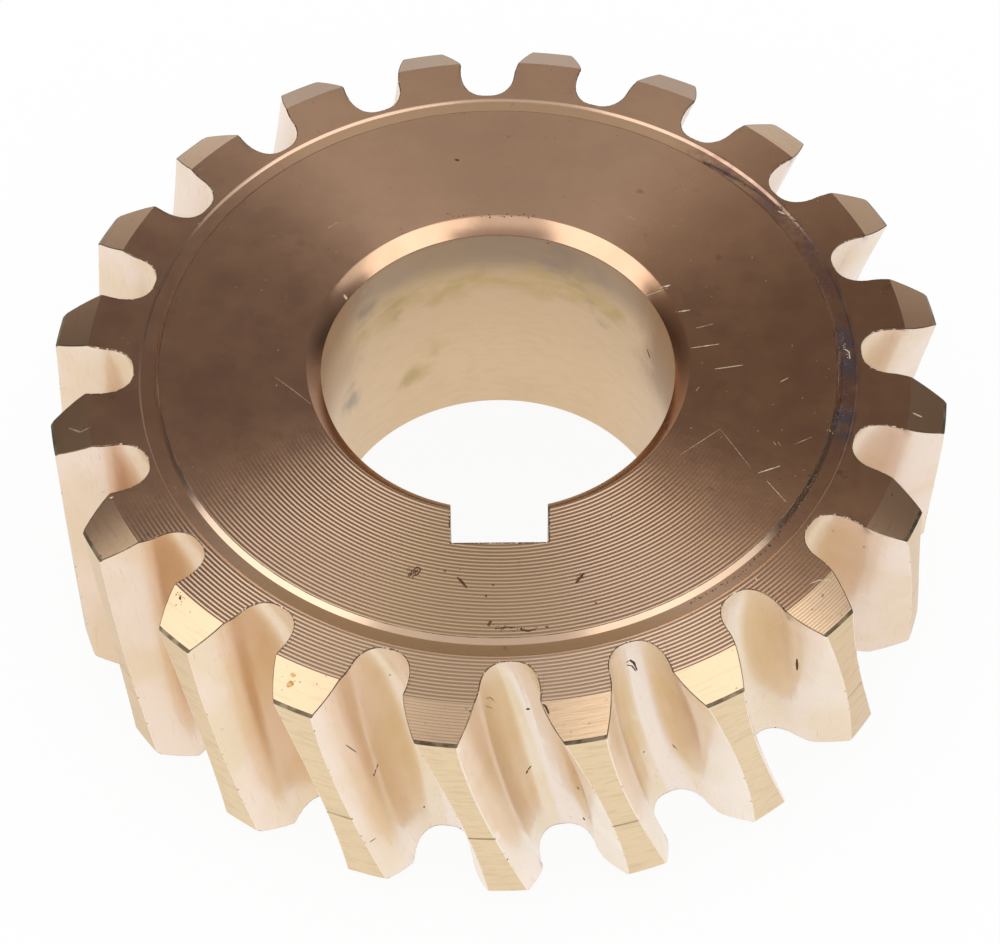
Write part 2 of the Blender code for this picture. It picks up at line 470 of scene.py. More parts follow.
class Graph:
    """The nodes of one material, with its colour and its bumps so far."""

    def __init__(self, name):
        self.material = bpy.data.materials.new(name)
        self.material.use_nodes = True
        self.tree = self.material.node_tree
        self.shader = self.tree.nodes["Principled BSDF"]
        self.surface = self.tree.nodes["Material Output"].inputs["Surface"]
        self.position = Field(self, self.node("ShaderNodeTexCoord").outputs["Object"])
        self.colour = None
        self.normal = None

    def node(self, kind, **values):
        made = self.tree.nodes.new(kind)
        for key, value in values.items():
            setattr(made, key, value)
        return made

    def put(self, socket, value):
        """Link a field to a socket, or set the socket to a plain value."""
        if isinstance(value, Field):
            self.tree.links.new(value.socket, socket)
        elif isinstance(value, tuple) and socket.type == "RGBA":
            socket.default_value = (*value, 1.0)
        else:
            socket.default_value = value

    def add(self, kind, inputs, output=0, **values):
        """Add a node with the given inputs and return one of its outputs."""
        node = self.node(kind, **values)
        for key, value in inputs.items():
            self.put(node.inputs[key], value)
        return Field(self, node.outputs[output])

    def math(self, operation, *values, clamp=False):
        return self.add("ShaderNodeMath", dict(enumerate(values)), operation=operation, use_clamp=clamp)

    def vector(self, operation, *values):
        return self.add("ShaderNodeVectorMath", dict(enumerate(values)), operation=operation)

    def mix(self, share, first, second, blend="MIX"):
        inputs = {0: share, 6: first, 7: second}
        return self.add("ShaderNodeMix", inputs, 2, data_type="RGBA", blend_type=blend)

    def coat(self, share, colour, blend="MIX"):
        """Lay a colour over the surface by a share."""
        self.colour = self.mix(share, self.colour, colour, blend)

    def parts(self, vector):
        made = self.node("ShaderNodeSeparateXYZ")
        self.put(made.inputs[0], vector)
        return [Field(self, output) for output in made.outputs]

    def join(self, *values):
        return self.add("ShaderNodeCombineXYZ", dict(enumerate(values)))

    def noise(self, scale, detail=3.0, roughness=0.6, distortion=0.0, place=None, output="Fac"):
        """Return cloudy noise at a place, which is the object's own position by default."""
        inputs = {"Scale": scale, "Detail": detail, "Roughness": roughness, "Distortion": distortion}
        inputs["Vector"] = place or self.position
        return self.add("ShaderNodeTexNoise", inputs, output)

    def bump(self, height, distance):
        """Raise the surface by a height times a distance, on top of the bumps so far."""
        inputs = {"Strength": 1.0, "Distance": distance, "Height": height}
        if self.normal:
            inputs["Normal"] = self.normal
        self.normal = self.add("ShaderNodeBump", inputs)

    def wobble(self, position, scale, amount):
        """Return the position moved to and fro by up to an amount, in millimetres."""
        noise = self.noise(scale, 2.0, 0.5, place=position, output="Color")
        middle = self.vector("SUBTRACT", noise, (0.5, 0.5, 0.5))
        spread = self.add("ShaderNodeVectorMath", {0: middle, "Scale": 2.0 * amount * MM}, operation="SCALE")
        return self.vector("ADD", position, spread)

    def near(self, position, place, reach, edge):
        """Return 1 within reach of a place and 0 beyond its soft edge, in millimetres."""
        inputs = {0: position, 1: tuple(value * MM for value in place)}
        distance = self.add("ShaderNodeVectorMath", inputs, "Value", operation="DISTANCE")
        return distance.ramp(reach * MM, (reach + edge) * MM, 1.0, 0.0)

    def cylinder(self, position):
        """Return radius, angle and height of the position, in metres and radians."""
        x, y, z = self.parts(position)
        return self.math("SQRT", x * x + y * y), self.math("ARCTAN2", y, x), z

    def finish(self, roughness, anisotropy=0.0, metallic=1.0, specular=0.5):
        """Set the shader's sockets and return the material."""
        inputs = {
            "Base Color": self.colour,
            "Roughness": roughness,
            "Metallic": metallic,
            "Specular IOR Level": specular,
            "Anisotropic": anisotropy,
        }
        if self.normal:
            inputs["Normal"] = self.normal
        if anisotropy:
            inputs["Anisotropic Rotation"] = 0.25
            inputs["Tangent"] = self.add("ShaderNodeTangent", {}, direction_type="RADIAL", axis="Z")
        for key, value in inputs.items():
            self.put(self.shader.inputs[key], value)
        return self.material


# Colours of the bronze, zone by zone, with the painted light and shade that some zones get on one side
BRONZE = (0.61, 0.39, 0.25)
BRONZE_WORN = (0.52, 0.325, 0.205)
# Dark bronze for grit, also used as painted shade in the valleys of the bevels' turned lines
BRONZE_DARK_AND_PAINTED_SHADE = (0.17, 0.10, 0.065)
MOTTLE_DARK = (0.43, 0.255, 0.185)
MOTTLE_PALE = (0.66, 0.44, 0.26)
# Painted shade in the valleys of the face's feed marks, and painted light and shade on its back, front,
# front centre, outer rim and groove floor
VALLEY_PAINTED_SHADE = (0.235, 0.128, 0.055)
BACK_PAINTED_LIGHT = (0.66, 0.425, 0.275)
FRONT_PAINTED_LIGHT = (0.55, 0.385, 0.27)
CENTRE_PAINTED_LIGHT = (0.57, 0.395, 0.235)
RIM_PAINTED_LIGHT = (0.69, 0.495, 0.35)
FLOOR_FRONT_PAINTED_SHADE = (0.39, 0.24, 0.125)
FLOOR_BACK_PAINTED_LIGHT = (0.72, 0.475, 0.29)
RIGHT_SHADE = (0.90, 0.84, 0.76)
BEVEL_BRONZE = (0.64, 0.45, 0.29)
# Painted shade: the bevels at the back are darker
BEVEL_BACK_PAINTED_SHADE = (0.385, 0.25, 0.16)
BEVEL_STREAK = (0.40, 0.27, 0.16)
PALE_BRONZE = (0.95, 0.825, 0.715)
# Gold also stands for painted shade towards the roots of the gaps; pink is a painted highlight on the gap
# floors that face the front
GOLD_BRONZE_AND_ROOT_SHADE = (0.87, 0.715, 0.495)
PINK_PAINTED_HIGHLIGHT = (0.95, 0.835, 0.765)
FLANK_SIDE_SHADE = (0.92, 0.865, 0.835)
FLANK_LEFT_SHADE = (0.985, 0.95, 0.91)
FLANK_HAIR = (0.55, 0.40, 0.26)
FLANK_GRAIN = (0.45, 0.3, 0.18)
TIP_BRONZE = (0.80, 0.62, 0.395)
TIP_STREAK = (0.71, 0.535, 0.325)
TIP_SIDE_SHADE = (0.87, 0.81, 0.73)
TIP_LINE = (0.30, 0.20, 0.11)
BORE_BRONZE = (0.73, 0.53, 0.33)
BORE_GRAIN = (0.70, 0.51, 0.315)
BORE_MIDDLE = (0.45, 0.315, 0.20)
BORE_UPPER = (0.33, 0.245, 0.175)
BORE_TOP = (0.37, 0.255, 0.165)
# Painted shade on the left and right sides of the bore wall
BORE_SIDE_PAINTED_SHADE = (0.37, 0.235, 0.125)
BORE_OLIVE = (0.49, 0.345, 0.135)
BORE_STREAK = (0.30, 0.235, 0.18)
BORE_GREY = (0.27, 0.215, 0.17)
CHAMFER_BRONZE = (0.66, 0.425, 0.285)
CHAMFER_CLOUD = (0.59, 0.375, 0.24)
# Painted shade on the bore chamfer's right side and front; painted light and shade on the groove walls,
# which change tone between the front and the rest
CHAMFER_RIGHT_PAINTED_SHADE = (0.54, 0.29, 0.15)
CHAMFER_FRONT_PAINTED_SHADE = (0.30, 0.205, 0.135)
GROOVE_FRONT_PAINTED_SHADE = (0.72, 0.51, 0.36)
GROOVE_BACK_PAINTED_LIGHT = (0.92, 0.68, 0.51)
LIP_FRONT_PAINTED_LIGHT = (0.93, 0.72, 0.54)
LIP_BACK_PAINTED_SHADE = (0.55, 0.385, 0.275)
EDGE_DIRT = (0.13, 0.10, 0.062)
EDGE_BRONZE = (0.27, 0.21, 0.135)
SLOT_BRONZE = (0.62, 0.45, 0.3)
SLOT_CLOUD = (0.5, 0.34, 0.2)

DEGREES = 180.0 / math.pi
LINE_PITCH = 0.355

# Stain in the groove: its reach in millimetres and its sectors in degrees
PLUM_STAIN = (0.36, 0.215, 0.17)
BLUE_STAIN = (0.26, 0.232, 0.26)
STAIN_REACH = (29.05, 30.48)
STAIN_SECTOR = (-21.0, 54.0)
BLUE_SECTORS = [(-3.5, 6.5), (-16.5, -11.0)]

# Stains on the bore wall: angle in degrees, height and reach in millimetres
OLIVE_STAINS = [
    (142.0, 5.5, 1.7), (128.0, 5.6, 2.2), (112.0, 5.8, 2.2), (97.0, 6.2, 1.5), (76.0, 6.3, 1.5),
    (63.0, 6.4, 1.8), (47.0, 5.4, 1.3), (112.0, -2.4, 1.0), (120.0, -5.5, 1.6),
]
GREY_STAINS = [
    (90.0, 10.6, 3.4), (70.0, 9.6, 1.8), (54.0, 9.0, 1.0), (98.0, 7.4, 0.7), (56.0, 4.6, 0.7),
    (50.0, 3.2, 0.7), (124.0, 4.2, 0.6), (140.0, 7.6, 1.0), (151.0, -1.5, 1.5), (146.0, -5.5, 0.6),
    (29.0, 4.6, 0.5), (22.0, 2.0, 0.8),
]


def turned_lines(graph, radius, pitch=LINE_PITCH, ridge=0.55):
    """Return the height of the concentric feed marks, a slow rise outwards and a steep fall."""
    drift = graph.noise(90.0, 2.0, 0.5) * 0.00012
    phase = graph.math("FRACT", (radius + drift) / (pitch * MM))
    return graph.math("MINIMUM", phase / ridge, (1.0 - phase) / (1.0 - ridge))


def stain_groove(graph):
    """Stain the right side of the groove plum, with two blue patches."""
    radius, angle, height = graph.cylinder(graph.wobble(graph.position, 500.0, 0.35))
    blotch = graph.noise(700.0).ramp(0.36, 0.60, 0.2, 0.85)
    across = (radius / MM).band(*STAIN_REACH, 0.22) * height.ramp(0.0, MM) * blotch
    degrees = angle * DEGREES
    graph.coat(across * degrees.band(*STAIN_SECTOR, 5.0), PLUM_STAIN)
    for sector in BLUE_SECTORS:
        graph.coat(across * degrees.band(*sector, 1.2), BLUE_STAIN)


def face_finish():
    """Bronze of the flat turned faces, with painted light and shade by side, and feed marks that are deepest
    towards the front, with painted shade in their valleys.
    """
    graph = Graph("bronze_turned_face")
    radius, _, _ = graph.cylinder(graph.position)
    x, y, _ = graph.parts(graph.position)
    lines = turned_lines(graph, radius)
    cloud = graph.noise(70.0, 4.0, 0.55)
    fine = graph.noise(1400.0)
    grit = graph.noise(520.0, 4.0, 0.65)
    mottle = graph.noise(330.0, 5.0, 0.65)
    facing = (x * 0.12 + y * 0.99) / radius
    x_share = x / radius

    # Where the feed marks show, and how strongly
    crisp = facing.ramp(-0.80, -0.50, 1.0, 0.06) * facing.fall(-0.15, 0.35)
    crisp = crisp * facing.ramp(-0.99, -0.88, 0.6, 1.0) * cloud.ramp(0.3, 0.7, 1.0, 0.84)
    groove = 1.0 - abs(radius - 0.02953).ramp(0.00082, 0.00088)
    left_rim = radius.ramp(0.030, 0.031, 0.0, 0.32) * x_share.fall(-0.62, -0.48)
    amount = crisp * (1.0 - groove) * (radius.ramp(0.021, 0.0245, 1.0, 0.68) + left_rim)

    outer = radius.ramp(0.0303, 0.0305)
    rim = outer * facing.ramp(-0.84, -0.66, 0.65, 0.0) * x_share.ramp(-0.05, 0.12, 0.45, 1.0)
    centre_rim = outer * x_share.band(0.06, 0.34, 0.05) * y.ramp(-0.02, 0.0, 0.65, 0.0)
    graph.colour = graph.mix(cloud.ramp(0.35, 0.7), BRONZE, BRONZE_WORN)
    graph.coat(mottle.ramp(0.42, 0.66, 0.0, 0.44), MOTTLE_DARK)
    graph.coat(mottle.ramp(0.44, 0.32, 0.0, 0.3), MOTTLE_PALE)
    # Painted light: the back, front, front centre and outer rim of the face get tones that stand in for how
    # the lamps fall there
    graph.coat(facing.ramp(0.35, 0.80, 0.0, 0.6), BACK_PAINTED_LIGHT)
    graph.coat(facing.ramp(-0.80, -0.50, 0.8, 0.0), FRONT_PAINTED_LIGHT)
    graph.coat(facing.ramp(-0.995, -0.90, 0.7, 0.0), CENTRE_PAINTED_LIGHT)
    graph.coat(graph.math("MAXIMUM", rim, centre_rim), RIM_PAINTED_LIGHT)
    # Painted shade and light: the groove floor is dark at the front and light at the back
    graph.coat(groove * facing.ramp(-0.93, -0.68, 0.95, 0.0), FLOOR_FRONT_PAINTED_SHADE)
    graph.coat(groove * facing.ramp(0.55, 0.85, 0.0, 0.8), FLOOR_BACK_PAINTED_LIGHT)
    graph.coat(x_share.ramp(0.45, 0.80) * 0.8, RIGHT_SHADE, "MULTIPLY")
    graph.coat(grit.ramp(0.66, 0.76, 0.0, 0.45), BRONZE_DARK_AND_PAINTED_SHADE)
    # Painted shade: the valleys of the feed marks are coloured dark, as strongly as the marks show
    graph.coat(lines.ramp(0.0, 0.42, 0.8, 0.0) * amount, VALLEY_PAINTED_SHADE)
    stain_groove(graph)
    graph.bump(lines * amount, 48e-6)
    graph.bump(fine, 3e-6)
    return graph.finish((abs(y) / radius).ramp(0.60, 0.86, 0.235, 0.29), 0.85)


def bevel_finish():
    """Bronze of the bevels on the tooth tips, some finely turned and some brushed."""
    graph = Graph("bronze_bevel")
    radius, angle, height = graph.cylinder(graph.position)
    _, y, _ = graph.parts(graph.position)
    degrees = angle * DEGREES
    lines = turned_lines(graph, radius, 0.22, 0.5)
    left = degrees.band(-107.0, -89.0, 2.0)
    right = degrees.band(-53.0, -35.0, 2.0)
    amount = graph.math("ADD", left, right * 0.8, clamp=True)
    streaks = graph.noise(3000.0, place=graph.join(angle * 0.0036, radius, height))
    brushed = degrees.band(-89.0, -71.0, 2.0)
    fine = graph.noise(1800.0)
    grit = graph.noise(1700.0)
    # Painted shade: the bevels at the back are coloured darker
    graph.colour = graph.mix((y / radius).ramp(0.74, 0.9) * 0.95, BEVEL_BRONZE, BEVEL_BACK_PAINTED_SHADE)
    graph.coat(streaks.ramp(0.52, 0.72, 0.0, 0.25), BEVEL_STREAK)
    graph.coat(grit.ramp(0.68, 0.74, 0.0, 0.6), BRONZE_DARK_AND_PAINTED_SHADE)
    # Painted shade: the valleys of the fine turned lines on two front sectors of the bevels are coloured
    # dark
    graph.coat(lines.ramp(0.0, 0.5, 0.4, 0.0) * amount, BRONZE_DARK_AND_PAINTED_SHADE)
    graph.bump(lines * amount, 9e-6)
    graph.bump(streaks * brushed, 16e-6)
    graph.bump(fine, 3e-6)
    return graph.finish(0.22, 0.5)


def hobbed_finish():
    """Bronze of the tooth flanks and gullets, drawn out along the cut."""
    graph = Graph("bronze_hobbed")
    radius, angle, height = graph.cylinder(graph.position)
    x, y, _ = graph.parts(graph.position)
    lean = WORM_LEAD / (2.0 * math.pi * WORM_PITCH_RADIUS * PITCH_RADIUS * MM)
    across = angle + height * lean
    strips = graph.join(across * (PITCH_RADIUS * MM), radius, height * 0.06)
    bands = graph.noise(900.0, 2.0, 0.5, place=strips)
    hairs = graph.noise(5200.0, 2.0, 0.6, place=strips)
    cloud = graph.noise(110.0, 3.0, 0.5)
    fine = graph.noise(1500.0)
    y_share = y / radius

    # Painted highlight: a pale pink band on the floors of the gaps that face the front. Painted shade: the
    # flanks turn more gold towards the root, on top of cloudy gold patches
    steps = (across - GAP_ANGLE) / TOOTH_PITCH
    offset = steps - graph.math("ROUND", steps)
    floor = offset.ramp(-0.07, 0.0) * offset.fall(0.13, 0.20) * y_share.fall(-0.90, -0.60)
    root = (radius / MM).ramp(30.5, 34.5, 0.5, 0.0)
    gold = graph.math("ADD", cloud.ramp(0.40, 0.68, 0.0, 0.7), root, clamp=True)
    left = (x / radius).fall(-0.35, -0.15) * y_share.fall(-0.40, -0.15)
    graph.colour = graph.mix(gold * (1.0 - floor * 0.75), PALE_BRONZE, GOLD_BRONZE_AND_ROOT_SHADE)
    graph.coat(floor * 0.6, PINK_PAINTED_HIGHLIGHT)
    graph.coat(y_share.ramp(-0.78, -0.40), FLANK_SIDE_SHADE, "MULTIPLY")
    graph.coat(left, FLANK_LEFT_SHADE, "MULTIPLY")
    graph.coat(hairs.ramp(0.60, 0.70) * abs(height).ramp(5.0 * MM, 10.0 * MM, 0.10, 0.22), FLANK_HAIR)
    graph.coat(fine.ramp(0.70, 0.78, 0.0, 0.3), FLANK_GRAIN)
    graph.bump(bands, 16e-6)
    graph.bump(cloud, 20e-6)
    graph.bump(fine, 2e-6)
    return graph.finish(0.25, metallic=0.8, specular=0.4)


def tip_finish():
    """Bronze of the cylinder at the tooth tips, turned in fine level streaks."""
    graph = Graph("bronze_tip")
    x, y, z = graph.parts(graph.position)
    stretched = graph.join(x * 0.15, y * 0.15, z)
    streaks = graph.noise(3200.0, place=stretched)
    broad = graph.noise(600.0, 2.0, 0.5, place=stretched)
    above = z / MM - TURNED_LINE_HEIGHT
    few = above.ramp(0.1, 0.2) * above.fall(1.0, 1.15)
    wave = abs(graph.math("SINE", above * (math.pi / 0.26)))
    graph.colour = graph.mix(streaks.ramp(0.45, 0.7), TIP_BRONZE, TIP_STREAK)
    graph.coat(abs(x).ramp(0.021, 0.029), TIP_SIDE_SHADE, "MULTIPLY")
    graph.coat(wave.ramp(0.0, 0.35, 0.55, 0.0) * few * broad.ramp(0.35, 0.6), TIP_LINE)
    graph.bump(streaks, 3e-6)
    graph.bump(broad, 7e-6)
    return graph.finish(0.32, metallic=0.9)


def stained(graph, position, places):
    """Return how much the round stains of the bore wall cover each point."""
    share = 0.0
    for degrees, height, reach in places:
        place = (*polar(BORE_RADIUS, math.radians(degrees)), height)
        share = graph.math("MAXIMUM", graph.near(position, place, 0.1 * reach, 1.5 * reach), share)
    return share


def bore_finish():
    """Bronze of the bore wall, darker towards the upper chamfer, with olive and grey stains."""
    graph = Graph("bronze_bore")
    x, y, z = graph.parts(graph.position)
    stretched = graph.join(x * 0.4, y * 0.4, z)
    cloud = graph.noise(300.0, 4.0, 0.6, 0.4, place=stretched)
    smudge = graph.noise(420.0, 3.0, 0.55, 0.6, place=stretched)
    fine = graph.noise(1500.0, place=stretched)
    moved = graph.wobble(graph.wobble(graph.position, 260.0, 1.9), 900.0, 0.7)
    radius, angle, height = graph.cylinder(moved)
    level = z / MM
    x_share = x / radius
    band = (height / MM).band(4.4, 6.8, 1.3) * (angle * DEGREES).band(50.0, 146.0, 9.0) * 0.8
    olive = graph.math("MAXIMUM", stained(graph, moved, OLIVE_STAINS), band)
    olive = olive * cloud.ramp(0.36, 0.60, 0.25, 1.0)
    grey = stained(graph, moved, GREY_STAINS) * smudge.ramp(0.38, 0.60, 0.25, 1.0)
    sides = x_share.ramp(0.78, 0.92) + x_share.ramp(-0.93, -0.74, 0.5, 0.0)
    graph.colour = graph.mix(fine.ramp(0.4, 0.7), BORE_BRONZE, BORE_GRAIN)
    graph.coat(level.ramp(-6.0, 5.0, 0.0, 0.24), BORE_MIDDLE)
    graph.coat(level.ramp(5.5, 9.5, 0.0, 0.72), BORE_UPPER)
    graph.coat(level.ramp(5.6, 10.0, 0.0, 0.85) * (y / radius).ramp(0.72, 0.96), BORE_TOP)
    # Painted shade: the left and right sides of the bore wall are coloured darker, more so higher up
    graph.coat(sides * level.ramp(-1.0, 4.0, 0.12, 1.0), BORE_SIDE_PAINTED_SHADE)
    graph.coat(olive * 0.85, BORE_OLIVE)
    graph.coat(smudge.ramp(0.58, 0.72, 0.0, 0.45) * level.ramp(2.0, 9.0, 0.1, 1.0), BORE_STREAK)
    graph.coat(grey * 0.72, BORE_GREY)
    graph.bump(fine, 3e-6)
    return graph.finish(0.33, metallic=0.88)


def wall_finish():
    """Bronze of the chamfers and groove walls."""
    graph = Graph("bronze_chamfer")
    cloud = graph.noise(200.0, 3.0, 0.5)
    fine = graph.noise(1500.0)
    x, y, _ = graph.parts(graph.position)
    radius, _, _ = graph.cylinder(graph.position)
    y_share = y / radius
    # Painted light and shade: the groove's inner wall is dark at the front and light away from it, its outer
    # wall light at the front and dark away from it
    backwards = y_share.ramp(-0.8, -0.4)
    lip = graph.mix(backwards, LIP_FRONT_PAINTED_LIGHT, LIP_BACK_PAINTED_SHADE)
    groove = graph.mix(backwards, GROOVE_FRONT_PAINTED_SHADE, GROOVE_BACK_PAINTED_LIGHT)
    graph.colour = graph.mix(cloud.ramp(0.4, 0.7), CHAMFER_BRONZE, CHAMFER_CLOUD)
    # Painted shade: the bore chamfer is coloured darker on the right side and at the front
    graph.coat((x / radius).ramp(0.72, 0.94, 0.0, 0.75), CHAMFER_RIGHT_PAINTED_SHADE)
    graph.coat(y_share.ramp(-0.97, -0.62, 0.7, 0.0), CHAMFER_FRONT_PAINTED_SHADE)
    graph.coat(radius.ramp(0.020, 0.021), graph.mix(radius.ramp(0.0298, 0.0301), groove, lip))
    stain_groove(graph)
    graph.bump(fine, 3e-6)
    return graph.finish(0.2, 0.4)


def edge_finish():
    """Bronze of the narrow broken edges, darkened by dirt."""
    graph = Graph("bronze_edge")
    cloud = graph.noise(900.0)
    graph.colour = graph.mix(cloud.ramp(0.40, 0.62), EDGE_DIRT, EDGE_BRONZE)
    return graph.finish(0.4)


def slot_finish():
    """Bronze of the keyway walls."""
    graph = Graph("bronze_keyway")
    cloud = graph.noise(700.0)
    graph.colour = graph.mix(cloud, SLOT_BRONZE, SLOT_CLOUD)
    graph.bump(cloud, 8e-6)
    return graph.finish(0.35)


def mark_finish(name, colour, roughness, metallic):
    """Dirt, oil, fresh scratches and painted glints, each slightly uneven in colour."""
    graph = Graph(name)
    cloud = graph.noise(2500.0, 2.0, 0.5)
    graph.colour = graph.mix(cloud.ramp(0.4, 0.65), colour, tuple(0.6 * value for value in colour))
    return graph.finish(roughness, metallic=metallic, specular=0.2)


# Marks of use and a few painted glints, placed where the photograph shows them

PHOTO_WIDTH = 1000
PHOTO_HEIGHT = 944
PROUD = 0.011
SUNK = 0.006
OUTERMOST = (TIP_RADIUS - 0.001) * MM

# Strokes of each kind: width in millimetres and line in the photograph's pixels
STROKES = [
    ("dirt", [
        (0.18, (409, 577), (412, 571), (417, 567), (421, 569), (418, 574), (412, 577)),
        (0.24, (413, 573), (418, 570)), (0.25, (457, 577), (462, 582), (467, 588)),
        (0.26, (576, 583), (580, 578), (584, 573)), (0.32, (488, 626), (491, 621)),
        (0.17, (495, 629), (507, 627), (516, 628)), (0.22, (521, 630), (529, 631), (536, 629)),
        (0.25, (797, 659), (797, 670)), (0.24, (626, 663), (630, 660), (634, 663), (637, 670)),
        (0.17, (627, 665), (632, 666), (636, 671)), (0.22, (543, 704), (546, 707), (549, 714)),
        (0.19, (528, 770), (531, 766)), (0.25, (378, 764), (375, 773)), (0.25, (647, 349), (650, 358)),
        (0.1, (346, 745), (356, 752)),
    ]),
    ("plum", [
        (0.4, (704, 162), (714, 167), (725, 173), (742, 182)), (0.22, (742, 182), (760, 194), (776, 207)),
    ]),
    ("dirt", [(0.49, (667, 420), (666, 430))]),
    ("tan", [
        (0.08, (486, 699), (490, 697), (494, 701)), (0.07, (486, 706), (492, 708)),
        (0.1, (370, 842), (376, 838)), (0.08, (672, 744), (677, 749)),
    ]),
    ("scratch_and_glint", [
        (0.2, (660, 288), (670, 285)), (0.14, (676, 312), (690, 310)),
    ]),
    ("faint", [(0.1, (696, 328), (713, 324))]),
    ("scratch_and_glint", [
        (0.1, (691, 348), (719, 344)), (0.1, (715, 369), (743, 365)), (0.08, (780, 382), (788, 378)),
    ]),
    ("faint", [(0.1, (696, 391), (699, 387))]),
    ("scratch_and_glint", [(0.12, (758, 473), (780, 466))]),
    ("faint", [
        (0.08, (680, 455), (700, 442), (720, 429)), (0.07, (720, 429), (736, 449), (751, 468)),
    ]),
    ("scratch_and_glint", [(0.08, (767, 481), (786, 502))]),
    ("faint", [
        (0.07, (795, 444), (812, 437)), (0.08, (773, 441), (776, 445)), (0.08, (778, 442), (781, 446)),
    ]),
    ("scratch_and_glint", [
        (0.14, (913, 413), (922, 417)), (0.1, (810, 584), (819, 580), (830, 580)),
        (0.12, (755, 578), (758, 581)),
    ]),
    ("faint", [
        (0.08, (275, 377), (293, 390), (311, 404)), (0.16, (69, 428), (80, 432), (91, 427)),
        (0.2, (328, 228), (340, 221)), (0.12, (628, 216), (638, 221)), (0.05, (390, 551), (399, 556)),
    ]),
    # Painted highlights: the bright strokes at (778, 211), (102, 493) and (110, 498) stand for a highlight
    # and glints, not scratches
    ("scratch_and_glint", [
        (0.05, (646, 296), (668, 288)), (0.18, (845, 349), (849, 352), (850, 359)),
        (0.35, (344, 295), (347, 299)), (0.18, (778, 211), (785, 214)), (0.14, (102, 493), (104, 491)),
        (0.14, (110, 498), (113, 497)),
    ]),
]

# Specks of each kind: length and width in millimetres and pixel in the photograph
SPECKS = [
    ("dirt", [
        (0.3, 0.22, (445, 571)), (0.4, 0.3, (582, 577)), (0.26, 0.2, (578, 579)), (0.28, 0.2, (493, 585)),
        (0.3, 0.24, (486, 596)), (0.28, 0.2, (596, 603)), (0.36, 0.24, (547, 627)), (0.4, 0.38, (528, 709)),
        (0.36, 0.26, (527, 772)), (0.2, 0.16, (470, 711)), (0.22, 0.18, (390, 675)),
        (0.32, 0.24, (374, 775)), (0.26, 0.16, (335, 830)), (0.24, 0.18, (424, 807)),
        (0.14, 0.12, (472, 774)), (0.3, 0.26, (578, 788)), (0.4, 0.26, (584, 819)),
        (0.14, 0.12, (574, 772)), (0.22, 0.18, (644, 752)), (0.2, 0.16, (674, 747)),
        (0.55, 0.3, (457, 160)), (0.3, 0.24, (892, 495)), (0.26, 0.22, (864, 547)), (0.2, 0.16, (833, 531)),
        (0.34, 0.26, (180, 598)), (0.34, 0.24, (817, 468)), (0.3, 0.2, (815, 476)),
        (0.44, 0.26, (808, 486)), (0.36, 0.24, (805, 493)), (0.44, 0.26, (797, 503)),
        (0.26, 0.2, (794, 509)), (0.34, 0.22, (788, 515)), (0.34, 0.22, (781, 526)),
        (0.26, 0.2, (778, 536)), (0.26, 0.16, (824, 454)),
    ]),
    ("amber", [
        (0.8, 0.62, (290, 684)), (0.55, 0.42, (293, 675)), (0.2, 0.14, (317, 684)),
    ]),
    ("dirt", [
        (0.14, 0.12, (300, 682)), (0.14, 0.1, (326, 676)), (0.12, 0.1, (282, 690)),
        (0.16, 0.12, (176, 605)), (0.14, 0.1, (190, 612)), (0.3, 0.14, (548, 243)),
        (0.36, 0.12, (489, 215)), (0.3, 0.12, (507, 214)), (0.24, 0.12, (524, 214)),
    ]),
]

# Each smudge of crumbs: kind, count, spread and size in millimetres, and its line of pixels
SMUDGES = [
    ("plum", 70, 0.1, 0.12, (704, 162), (742, 182), (776, 207)),
    ("plum", 150, 0.2, 0.13, (776, 207), (798, 226), (812, 250), (822, 280), (829, 310)),
    ("plum", 60, 0.16, 0.12, (829, 310), (838, 330), (846, 370), (845, 400)),
    ("blue", 80, 0.22, 0.13, (839, 332), (843, 345), (847, 366)),
    ("blue", 70, 0.2, 0.14, (841, 408), (834, 430)),
    ("blue", 16, 0.14, 0.1, (848, 412), (856, 408)),
    ("scratch_and_glint", 9, 0.1, 0.11, (843, 344), (848, 360)),
    ("scratch_and_glint", 6, 0.08, 0.1, (834, 434), (828, 430)),
    ("dirt", 60, 0.1, 0.16, (826, 450), (797, 503), (778, 536)),
    ("dirt", 45, 0.08, 0.12, (778, 536), (740, 575), (690, 603)),
    ("faint", 16, 0.14, 0.1, (818, 470), (800, 505)),
    ("dirt", 34, 0.16, 0.1, (488, 622), (500, 628), (536, 630)),
    ("dirt", 22, 0.16, 0.11, (416, 568), (410, 578)),
    ("dirt", 18, 0.14, 0.11, (581, 574), (577, 582)),
    ("tan", 18, 0.3, 0.08, (480, 690), (496, 706)),
    ("tan", 12, 0.5, 0.08, (600, 660), (640, 700)),
    ("dirt", 18, 0.1, 0.11, (446, 215), (540, 217)),
    ("tan", 12, 0.2, 0.12, (176, 590), (186, 606)),
]

# Each kind of mark: colour, roughness and metallic share
MARK_LOOKS = {
    "dirt": ((0.115, 0.058, 0.028), 0.7, 0.0),
    "tan": ((0.30, 0.20, 0.10), 0.6, 0.0),
    "amber": ((0.74, 0.44, 0.17), 0.5, 0.2),
    "blue": ((0.085, 0.074, 0.092), 0.5, 0.0),
    "plum": ((0.105, 0.060, 0.050), 0.5, 0.0),
    "scratch_and_glint": ((0.80, 0.66, 0.50), 0.5, 0.7),
    "faint": ((0.50, 0.37, 0.27), 0.5, 0.7),
}
MARK_SEED = 11
GAP_BURRS = 1100
KEYWAY_BURRS = 420
CORNER_HEIGHTS = 26
CORNER_SHARE = 0.3
DUST_COUNT = 260
DUST_PALE_SHARE = 0.6
DUST_SIZE = (0.05, 0.11)

